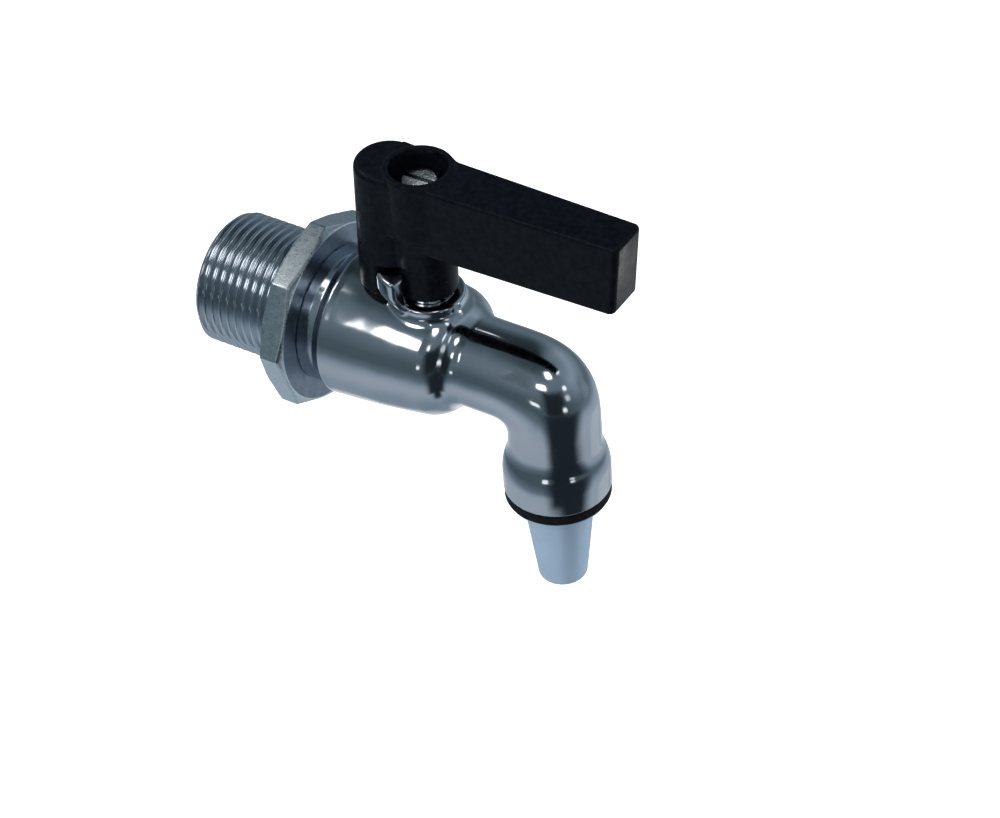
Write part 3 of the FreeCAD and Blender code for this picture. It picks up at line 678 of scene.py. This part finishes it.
def remap(mat, source, low, high):
    """A number from low to high that follows a noise."""
    node = mat.node_tree.nodes.new("ShaderNodeMapRange")
    start, end = GLOSS_SPAN
    for name, number in (("From Min", start), ("From Max", end), ("To Min", low), ("To Max", high)):
        node.inputs[name].default_value = number
    mat.node_tree.links.new(source, node.inputs["Value"])
    return node.outputs["Result"]


def tint(mat, source, *colors):
    """A colour between two that follows a noise."""
    node = mat.node_tree.nodes.new("ShaderNodeValToRGB")
    for element, position, color in zip(node.color_ramp.elements, SHADE_SPAN, colors):
        element.position = position
        element.color = (*color, 1)
    mat.node_tree.links.new(source, node.inputs["Fac"])
    return node.outputs["Color"]


def bump(mat, source, height, below):
    """Relief of a height in metres that follows a noise, over the relief below it."""
    node = mat.node_tree.nodes.new("ShaderNodeBump")
    node.inputs["Strength"].default_value = 1.0
    node.inputs["Distance"].default_value = height
    mat.node_tree.links.new(source, node.inputs["Height"])
    if below is not None:
        mat.node_tree.links.new(below, node.inputs["Normal"])
    return node.outputs["Normal"]


def finish(name, color, metallic, roughness, reliefs, gloss, shades, specular=None, stretch=(1, 1, 1)):
    """A finish with relief, uneven gloss and uneven colour.

    reliefs holds (noise scale, detail, height in metres), one over the other. gloss is (noise scale,
    detail, lowest roughness, highest). shades is (noise scale, detail, first colour, second colour).
    """
    mat = bpy.data.materials.new(name)
    mat.use_nodes = True
    link = mat.node_tree.links.new
    sockets = mat.node_tree.nodes["Principled BSDF"].inputs
    sockets["Base Color"].default_value = (*color, 1)
    sockets["Metallic"].default_value = metallic
    sockets["Roughness"].default_value = roughness
    if specular is not None:
        sockets["Specular IOR Level"].default_value = specular
    relief = None
    for scale, detail, height in reliefs:
        relief = bump(mat, noise(mat, scale, detail, stretch), height, relief)
    link(relief, sockets["Normal"])
    scale, detail, low, high = gloss
    link(remap(mat, noise(mat, scale, detail), low, high), sockets["Roughness"])
    scale, detail, first, second = shades
    link(tint(mat, noise(mat, scale, detail), first, second), sockets["Base Color"])
    return mat


def plain(name, first, second, metallic, low, high, scale):
    """A finish for the small inner pieces, with fine marks."""
    return finish(name, first, metallic, high, [(scale * 3, 3.0, 0.00001)],
                  (scale, 3.0, low, high), (scale, 3.0, first, second))


# Bright plating over a hand-polished casting: slow waves bend the reflections
plate = finish(
    "chrome_plate", (0.64, 0.67, 0.72), 1.0, 0.08, [(110, 1.0, 0.00030), (900, 3.0, 0.0000045)],
    (260, 4.0, 0.08, 0.14), (60, 2.0, (0.61, 0.64, 0.69), (0.67, 0.70, 0.75)))

# Plating on the cut thread, crisper than on the casting
thread_plate = finish(
    "chrome_thread", (0.63, 0.67, 0.72), 1.0, 0.14, [(1500, 3.0, 0.000006)],
    (400, 3.0, 0.07, 0.13), (90, 2.0, (0.60, 0.64, 0.69), (0.66, 0.70, 0.75)))

# Plating over rougher cast flats, with a fine stipple
flange_plate = finish(
    "chrome_flange", (0.80, 0.86, 0.90), 1.0, 0.3, [(3000, 3.0, 0.000016), (700, 2.0, 0.000012)],
    (900, 3.0, 0.24, 0.36), (2400, 3.0, (0.70, 0.76, 0.80), (0.88, 0.93, 0.96)))

# Duller plating on the flange's back, which faces the barrel; its colour is darkened with painted shade
shaded_back_plate = finish(
    "chrome_flange_back_painted_shade", (0.25, 0.30, 0.37), 1.0, 0.34, [(2400, 3.0, 0.00001)],
    (700, 3.0, 0.28, 0.40), (900, 3.0, (0.23, 0.28, 0.35), (0.28, 0.33, 0.40)))

# Pale satin plating, brushed along the nozzle
satin_plate = finish(
    "satin_plate", (0.63, 0.78, 0.95), 0.80, 0.45, [(1600, 4.0, 0.000012)],
    (500, 3.0, 0.38, 0.5), (120, 3.0, (0.61, 0.76, 0.93), (0.66, 0.81, 0.97)), stretch=(1, 1, 0.25))

# Moulded black plastic with a slightly uneven gloss
black_plastic = finish(
    "black_moulding", (0.003, 0.003, 0.004), 0.0, 0.25, [(190, 2.0, 0.00010), (2400, 3.0, 0.000006)],
    (320, 4.0, 0.2, 0.38), (800, 4.0, (0.0022, 0.003, 0.005), (0.0045, 0.0056, 0.009)), specular=0.08)

ring_rubber = finish(
    "ring_rubber", (0.005, 0.005, 0.007), 0.0, 0.6, [(1500, 4.0, 0.00002)],
    (600, 3.0, 0.5, 0.7), (900, 3.0, (0.003, 0.003, 0.005), (0.007, 0.007, 0.009)), specular=0.15)

# Inner pieces, by the slot that the record gives them
INNER_FINISHES = {
    "chrome": plate,
    "black_rubber": plain("seal_rubber", (0.012, 0.012, 0.013), (0.02, 0.02, 0.02), 0.0, 0.4, 0.6, 900),
    "ptfe": plain("white_seal", (0.84, 0.84, 0.82), (0.90, 0.90, 0.88), 0.0, 0.35, 0.5, 500),
    "brass": plain("turned_brass", (0.66, 0.48, 0.22), (0.76, 0.57, 0.29), 1.0, 0.2, 0.36, 500),
    "steel": plain("zinc_steel", (0.55, 0.56, 0.58), (0.68, 0.69, 0.71), 1.0, 0.07, 0.15, 500),
}


# The part

body = field_mesh("tap_body_cast", body_field, BODY_ROOM)
body.data.materials.append(plate)
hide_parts("body")
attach(body, "tap_body")

inlet = connector()
# The third look is the flange back's plating, darkened with painted shade
for look in (thread_plate, flange_plate, shaded_back_plate):
    inlet.data.materials.append(look)
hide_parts("inlet_connector")
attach(inlet, "tap_body")

nozzle = turned("nozzle_satin", NOZZLE_CORNERS, SPOUT_X)
nozzle.data.materials.append(satin_plate)
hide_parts("nozzle")
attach(nozzle, "tap_body")

ring = turned("nozzle_ring_rubber", RING_CORNERS, SPOUT_X)
ring.data.materials.append(ring_rubber)
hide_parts("nozzle_ring")
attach(ring, "tap_body")

handle = field_mesh("lever_moulded", lever_field, LEVER_ROOM)
handle.data.materials.append(black_plastic)
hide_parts("lever")
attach(handle, "lever_and_ball")

slot_of = {s["node"]: s["material_slot"] for s in frame["record"]["subparts"]}
for name, node in frame["nodes"].items():
    if slot_of[name] in INNER_FINISHES:
        node.data.materials.clear()
        node.data.materials.append(INNER_FINISHES[slot_of[name]])


# Studio

def ease_node(nodes, links, value, start, end, low=0.0, high=1.0):
    """A node that eases from low to high as the value goes from start to end."""
    node = nodes.new("ShaderNodeMapRange")
    node.interpolation_type = "SMOOTHSTEP"
    for name, number in (("From Min", start), ("From Max", end), ("To Min", low), ("To Max", high)):
        node.inputs[name].default_value = number
    links.new(value, node.inputs["Value"])
    return node.outputs["Result"]


def math_node(nodes, links, kind, *values):
    """A math node of one kind over sockets and numbers."""
    node = nodes.new("ShaderNodeMath")
    node.operation = kind
    for socket, value in zip(node.inputs, values):
        if isinstance(value, (int, float)):
            socket.default_value = value
        else:
            links.new(value, socket)
    return node.outputs[0]


def glow(name, color, strength, soft):
    """A surface that fades out to its edges; soft gives the shares that fade across and up."""
    mat = bpy.data.materials.new(name)
    mat.use_nodes = True
    nodes, links = mat.node_tree.nodes, mat.node_tree.links
    nodes.clear()
    out = nodes.new("ShaderNodeOutputMaterial")
    light = nodes.new("ShaderNodeEmission")
    light.inputs["Color"].default_value = (*color, 1)
    light.inputs["Strength"].default_value = strength
    place = nodes.new("ShaderNodeTexCoord")
    split = nodes.new("ShaderNodeSeparateXYZ")
    links.new(place.outputs["UV"], split.inputs["Vector"])
    shares = []
    for axis, width in zip("XY", soft):
        shares.append(ease_node(nodes, links, split.outputs[axis], 0.0, width))
        shares.append(ease_node(nodes, links, split.outputs[axis], 1.0 - width, 1.0, 1.0, 0.0))
    share = shares[0]
    for other in shares[1:]:
        share = math_node(nodes, links, "MULTIPLY", share, other)
    mix = nodes.new("ShaderNodeMixShader")
    clear = nodes.new("ShaderNodeBsdfTransparent")
    links.new(share, mix.inputs["Fac"])
    links.new(clear.outputs["BSDF"], mix.inputs[1])
    links.new(light.outputs["Emission"], mix.inputs[2])
    links.new(mix.outputs["Shader"], out.inputs["Surface"])
    return mat


def direction(turn, elevation):
    """A direction by its angle to the right of the camera's, seen from the tap, and its height."""
    a = math.atan2(NEAR_CAMERA.y, NEAR_CAMERA.x) + math.radians(turn)
    e = math.radians(elevation)
    return Vector((math.cos(a) * math.cos(e), math.sin(a) * math.cos(e), math.sin(e)))


def card(name, centre, turns, heights, distance, color, strength, soft):
    """A curved card that only reflections see, between two turns and two heights round a point."""
    points = []
    for i in range(CARD_STEPS + 1):
        e = heights[0] + (heights[1] - heights[0]) * i / CARD_STEPS
        for j in range(CARD_STEPS + 1):
            t = turns[0] + (turns[1] - turns[0]) * j / CARD_STEPS
            points.append(tuple((Vector(centre) + direction(t, e) * distance) * MM))
    faces = []
    for i in range(CARD_STEPS):
        for j in range(CARD_STEPS):
            k = i * (CARD_STEPS + 1) + j
            faces.append((k, k + 1, k + CARD_STEPS + 2, k + CARD_STEPS + 1))
    mesh = bpy.data.meshes.new(name)
    mesh.from_pydata(points, [], faces)
    across = mesh.uv_layers.new(name="across")
    for loop in mesh.loops:
        row, column = divmod(loop.vertex_index, CARD_STEPS + 1)
        across.data[loop.index].uv = (column / CARD_STEPS, row / CARD_STEPS)
    mesh.materials.append(glow(name, color, strength, soft))
    piece = add_object(name, mesh)
    piece.visible_camera = False
    piece.visible_diffuse = False
    piece.visible_transmission = False
    piece.visible_shadow = False


def world():
    """White behind the tap, and for reflections a room with a dark doorway and soft lamps."""
    out = bpy.data.worlds.new("studio")
    bpy.context.scene.world = out
    out.cycles.sampling_method = "NONE"
    out.use_nodes = True
    nodes, links = out.node_tree.nodes, out.node_tree.links
    nodes.clear()

    def ease(value, start, end, low=0.0, high=1.0):
        return ease_node(nodes, links, value, start, end, low, high)

    def calc(kind, *values):
        return math_node(nodes, links, kind, *values)

    def ramp(source, stops):
        """A colour by a value from 0 to 1; each stop is (value, colour)."""
        node = nodes.new("ShaderNodeValToRGB")
        points = node.color_ramp.elements
        while len(points) < len(stops):
            points.new(0.5)
        for point, (place, color) in zip(points, stops):
            point.position = place
            point.color = (*color, 1)
        links.new(source, node.inputs["Fac"])
        return node.outputs["Color"]

    def along(axis):
        """How far the ray's direction goes along an axis."""
        node = nodes.new("ShaderNodeVectorMath")
        node.operation = "DOT_PRODUCT"
        node.inputs[1].default_value = axis
        links.new(ray.outputs["Generated"], node.inputs[0])
        return node.outputs["Value"]

    def blend(first, second, share):
        """The first value, giving way to the second as the share goes from 0 to 1."""
        kept = calc("MULTIPLY", first, calc("SUBTRACT", 1.0, share))
        return calc("ADD", kept, calc("MULTIPLY", second, share))

    def room(stops):
        """The brightness by height; each stop is (height, brightness)."""
        return ramp(share_up, [((e + 90) / 180, (v, v, v)) for e, v in stops])

    def off(value, middle, half):
        """The distance from a lamp's middle in half widths, raised to the lamps' squareness."""
        away = calc("ABSOLUTE", calc("DIVIDE", calc("SUBTRACT", value, middle), half))
        return calc("POWER", away, LAMP_SQUARENESS)

    ray = nodes.new("ShaderNodeTexCoord")
    turn = calc("DEGREES", calc("ARCTAN2", along(direction(90, 0)), along(direction(0, 0))))
    height = calc("DEGREES", calc("ARCSINE", along((0, 0, 1))))
    share_up = calc("MULTIPLY_ADD", height, 1 / 180, 0.5)
    right = ease(turn, *RIGHT_FROM)
    back = ease(calc("ABSOLUTE", turn), *BEHIND_FROM)
    bright = blend(blend(room(LEFT_SIDE), room(RIGHT_SIDE), right), room(BEHIND), back)
    doorway = calc("MULTIPLY", ease(turn, *DOORWAY_LEFT), ease(turn, *DOORWAY_RIGHT, 1.0, 0.0))
    doorway = calc("MULTIPLY", doorway, ease(height, *DOORWAY_BOTTOM))
    doorway = calc("MULTIPLY", doorway, ease(height, *DOORWAY_TOP, 1.0, 0.0))
    tinted = ramp(blend(bright, DOORWAY_BRIGHTNESS, doorway), ROOM_COLORS)
    lamps = 0.0
    for turn_to, height_to, half_width, half_height, strength in SOFT_LAMPS:
        away = calc("ADD", off(turn, turn_to, half_width), off(height, height_to, half_height))
        away = calc("POWER", away, 1 / LAMP_SQUARENESS)
        lamps = calc("ADD", lamps, ease(away, *LAMP_FADE, strength, 0.0))
    total = nodes.new("ShaderNodeMixRGB")
    total.blend_type = "ADD"
    total.inputs["Fac"].default_value = 1.0
    links.new(tinted, total.inputs["Color1"])
    links.new(lamps, total.inputs["Color2"])

    path = nodes.new("ShaderNodeLightPath")
    shown = nodes.new("ShaderNodeBackground")
    shown.inputs["Color"].default_value = (*WHITE, 1)
    mirrored = nodes.new("ShaderNodeBackground")
    links.new(total.outputs["Color"], mirrored.inputs["Color"])
    ambient = nodes.new("ShaderNodeBackground")
    ambient.inputs["Color"].default_value = AMBIENT_COLOR
    ambient.inputs["Strength"].default_value = AMBIENT_STRENGTH
    unseen = nodes.new("ShaderNodeMixShader")
    links.new(path.outputs["Is Glossy Ray"], unseen.inputs["Fac"])
    links.new(ambient.outputs["Background"], unseen.inputs[1])
    links.new(mirrored.outputs["Background"], unseen.inputs[2])
    either = nodes.new("ShaderNodeMixShader")
    seen = calc("MAXIMUM", path.outputs["Is Camera Ray"], path.outputs["Is Transmission Ray"])
    links.new(seen, either.inputs["Fac"])
    links.new(unseen.outputs["Shader"], either.inputs[1])
    links.new(shown.outputs["Background"], either.inputs[2])
    end = nodes.new("ShaderNodeOutputWorld")
    links.new(either.outputs["Shader"], end.inputs["Surface"])


def floor():
    """Pale floor below the nozzle, white to the camera."""
    mesh = bpy.data.meshes.new("floor")
    s, z = FLOOR_HALF_WIDTH, FLOOR_HEIGHT
    mesh.from_pydata([(-s, -s, z), (s, -s, z), (s, s, z), (-s, s, z)], [], [(0, 1, 2, 3)])
    mat = bpy.data.materials.new("floor")
    mat.use_nodes = True
    nodes, links = mat.node_tree.nodes, mat.node_tree.links
    shader = nodes["Principled BSDF"]
    shader.inputs["Base Color"].default_value = FLOOR_COLOR
    shader.inputs["Roughness"].default_value = FLOOR_ROUGHNESS
    path = nodes.new("ShaderNodeLightPath")
    glowing = nodes.new("ShaderNodeEmission")
    glowing.inputs["Strength"].default_value = FLOOR_GLOW
    total = nodes.new("ShaderNodeAddShader")
    either = nodes.new("ShaderNodeMixShader")
    links.new(path.outputs["Is Camera Ray"], either.inputs["Fac"])
    links.new(shader.outputs["BSDF"], total.inputs[0])
    links.new(glowing.outputs["Emission"], total.inputs[1])
    links.new(shader.outputs["BSDF"], either.inputs[1])
    links.new(total.outputs["Shader"], either.inputs[2])
    links.new(either.outputs["Shader"], nodes["Material Output"].inputs["Surface"])
    mesh.materials.append(mat)
    piece = add_object("floor", mesh)
    piece.visible_glossy = False


def lamp(name, place, power, size):
    """A square lamp that points at the tap and that reflections don't see."""
    data = bpy.data.lights.new(name, "AREA")
    data.energy = power
    data.size = size
    piece = add_object(name, data)
    piece.location = place
    piece.rotation_euler = (LAMP_TARGET - Vector(place)).to_track_quat("-Z", "Y").to_euler()
    piece.visible_glossy = False


def camera():
    """The photograph's view."""
    a, e, roll = math.radians(CAMERA_TURN), math.radians(CAMERA_HEIGHT), math.radians(CAMERA_ROLL)
    back = Vector((math.sin(a) * math.cos(e), -math.cos(a) * math.cos(e), math.sin(e)))
    right = Vector((math.cos(a), math.sin(a), 0))
    up = back.cross(right)
    c, s = math.cos(roll), math.sin(roll)
    right, up = c * right + s * up, -s * right + c * up
    eye = back * CAMERA_DISTANCE + right * CAMERA_RIGHT - up * CAMERA_DOWN + Vector((STEM_X, 0, 0))
    data = bpy.data.cameras.new("camera")
    data.sensor_fit = "HORIZONTAL"
    data.sensor_width = SENSOR_WIDTH
    data.lens = LENS
    data.clip_start = CLIP_START
    view = add_object("camera", data)
    view.matrix_world = Matrix.Translation(eye * MM) @ Matrix((right, up, back)).transposed().to_4x4()
    bpy.context.scene.camera = view


for values in CARDS:
    card(*values)
world()
floor()
for values in LAMPS:
    lamp(*values)
camera()
bpy.context.scene.view_settings.view_transform = "Standard"
